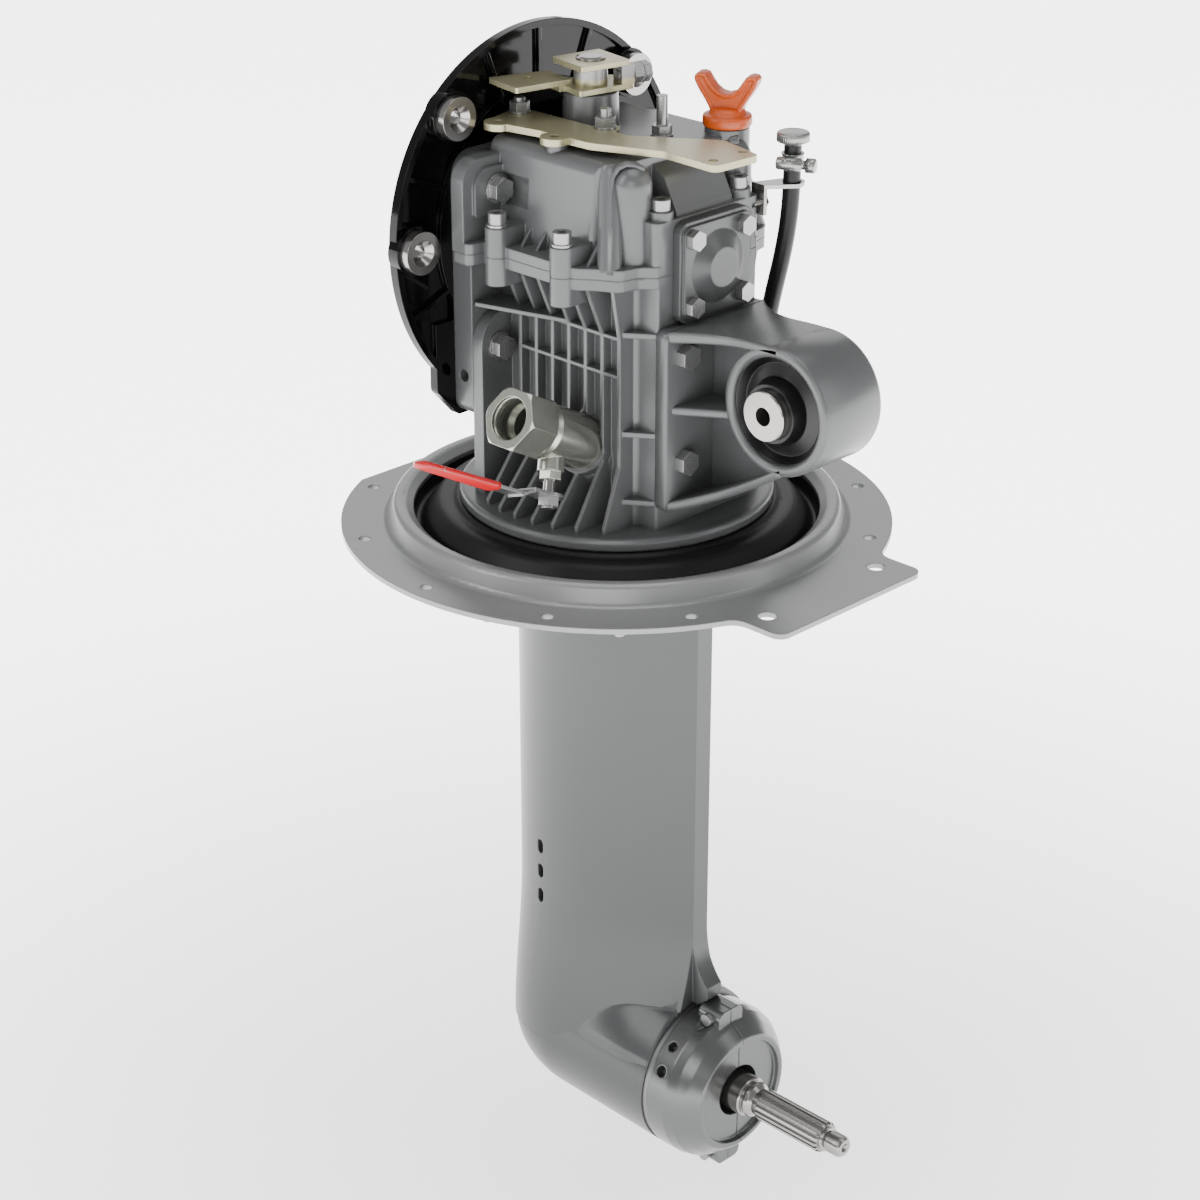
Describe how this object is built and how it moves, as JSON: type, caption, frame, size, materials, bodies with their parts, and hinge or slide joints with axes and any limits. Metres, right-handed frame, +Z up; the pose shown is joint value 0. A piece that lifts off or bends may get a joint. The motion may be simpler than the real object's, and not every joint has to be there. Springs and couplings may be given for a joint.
{
  "type": "saildrive",
  "caption": "Marine saildrive: ribbed gearbox with a bell-housing flange on a hull ring with a rubber seal, over a foil-shaped leg whose propeller shaft points aft.",
  "frame": {"origin": "centre of the hull ring's bolt circle, on the ring plate's upper face", "axes": "+X aft, the way the propeller shaft points; +Y starboard; +Z up"},
  "size_m": [0.4247, 0.4381, 0.8735],
  "materials": {
    "ring_paint": "satin",
    "clamp_metal": "satin",
    "membrane_rubber": "matte",
    "grey_paint": "satin",
    "black_paint": "gloss",
    "anode_metal": "satin",
    "zinc_fasteners": "satin",
    "passivated_steel": "satin",
    "bright_steel": "satin",
    "carrier_metal": "satin",
    "gear_steel": "satin",
    "seal_rubber": "matte",
    "mount_rubber": "matte",
    "valve_brass": "satin",
    "ball_chrome": "polished",
    "handle_steel": "satin",
    "red_plastic": "gloss",
    "orange_plastic": "gloss",
    "hose_rubber": "matte",
    "black_plastic": "satin",
    "clip_steel": "satin"
  },
  "bodies": {
    "housing": {"hull_ring": "ring_paint", "clamp_ring": "clamp_metal", "rubber_membrane": "membrane_rubber", "leg_casting": "grey_paint", "lower_housing": "grey_paint", "upper_housing": "grey_paint", "adapter_plate": "grey_paint", "aft_cover": "grey_paint", "mount_bracket": "grey_paint", "bell_flange": "black_paint", "anode_port": "anode_metal", "anode_starboard": "anode_metal", "housing_screws": "zinc_fasteners", "lug_bolts": "zinc_fasteners", "cover_bolts": "zinc_fasteners", "bracket_bolts": "zinc_fasteners", "leg_bolts": "zinc_fasteners", "clamp_ring_nuts": "zinc_fasteners", "anode_screws": "zinc_fasteners", "plate_studs": "zinc_fasteners", "breather_stud": "zinc_fasteners", "cable_plate": "passivated_steel", "bell_sleeves": "bright_steel", "mount_sleeve": "bright_steel", "hose_strap": "bright_steel", "bearing_carrier": "carrier_metal", "crown_bearings": "gear_steel", "input_bearing": "gear_steel", "shaft_bearings": "gear_steel", "input_seal": "seal_rubber", "propeller_shaft_seal": "seal_rubber", "mount_rubber": "mount_rubber", "valve_body": "valve_brass", "valve_nipple": "valve_brass", "hose_barb": "valve_brass", "vent_hose": "hose_rubber", "hose_plug": "black_plastic", "hose_clamp": "clip_steel"},
    "input": {"input_shaft": "gear_steel", "input_pinion": "gear_steel"},
    "upper_gear": {"upper_crown_gear": "gear_steel"},
    "lower_gear": {"lower_crown_gear": "gear_steel"},
    "drive": {"vertical_shaft": "gear_steel", "lower_pinion": "gear_steel"},
    "clutch": {"clutch_sleeve": "gear_steel", "clutch_rod": "gear_steel"},
    "propeller_shaft_body": {"propeller_shaft": "bright_steel", "propeller_gear": "gear_steel"},
    "shift": {"shift_shaft": "bright_steel", "shift_lever": "passivated_steel", "lever_cap": "passivated_steel", "pinch_bolt": "passivated_steel"},
    "fork": {"shift_fork": "gear_steel"},
    "valve": {"valve_ball": "ball_chrome", "valve_stem": "bright_steel", "valve_handle": "handle_steel", "handle_grip": "red_plastic", "handle_nut": "zinc_fasteners"},
    "dipstick_body": {"dipstick": "orange_plastic"}
  },
  "joints": [
    {"name": "input_turn", "type": "hinge", "parent": "housing", "child": "input", "pos_m": [0, 0, 0.213], "axis": [1, 0, 0], "continuous": true},
    {"name": "upper_gear_turn", "type": "hinge", "parent": "housing", "child": "upper_gear", "pos_m": [0, 0, 0.213], "axis": [0, 0, 1], "continuous": true},
    {"name": "lower_gear_turn", "type": "hinge", "parent": "housing", "child": "lower_gear", "pos_m": [0, 0, 0.213], "axis": [0, 0, 1], "continuous": true},
    {"name": "drive_turn", "type": "hinge", "parent": "housing", "child": "drive", "pos_m": [0, 0, -0.2], "axis": [0, 0, 1], "continuous": true},
    {"name": "propeller_turn", "type": "hinge", "parent": "housing", "child": "propeller_shaft_body", "pos_m": [0, 0, -0.4492], "axis": [1, 0, 0], "continuous": true},
    {"name": "shift_turn", "type": "hinge", "parent": "housing", "child": "shift", "pos_m": [-0.0265, 0, 0.3], "axis": [0, 0, 1], "range_deg": [0, 70]},
    {"name": "clutch_slide", "type": "slide", "parent": "drive", "child": "clutch", "axis": [0, 0, 1], "range_m": [0, 0.0051]},
    {"name": "fork_slide", "type": "slide", "parent": "housing", "child": "fork", "axis": [0, 0, 1], "range_m": [0, 0.0051]},
    {"name": "valve_turn", "type": "hinge", "parent": "housing", "child": "valve", "pos_m": [0.03, -0.09425, 0.09702], "axis": [-0.342, 0.4412, 0.8297], "range_deg": [0, 90]},
    {"name": "dipstick_pull", "type": "slide", "parent": "housing", "child": "dipstick_body", "axis": [0, 0, 1], "range_m": [0, 0.2]}
  ],
  "couplings": [
    {"joint": "upper_gear_turn", "follows": "input_turn", "ratio": 0.62963},
    {"joint": "lower_gear_turn", "follows": "input_turn", "ratio": -0.62963},
    {"joint": "propeller_turn", "follows": "drive_turn", "ratio": -0.68},
    {"joint": "clutch_slide", "follows": "shift_turn", "m_per_rad": 0.0040926},
    {"joint": "fork_slide", "follows": "shift_turn", "m_per_rad": 0.0040926}
  ]
}
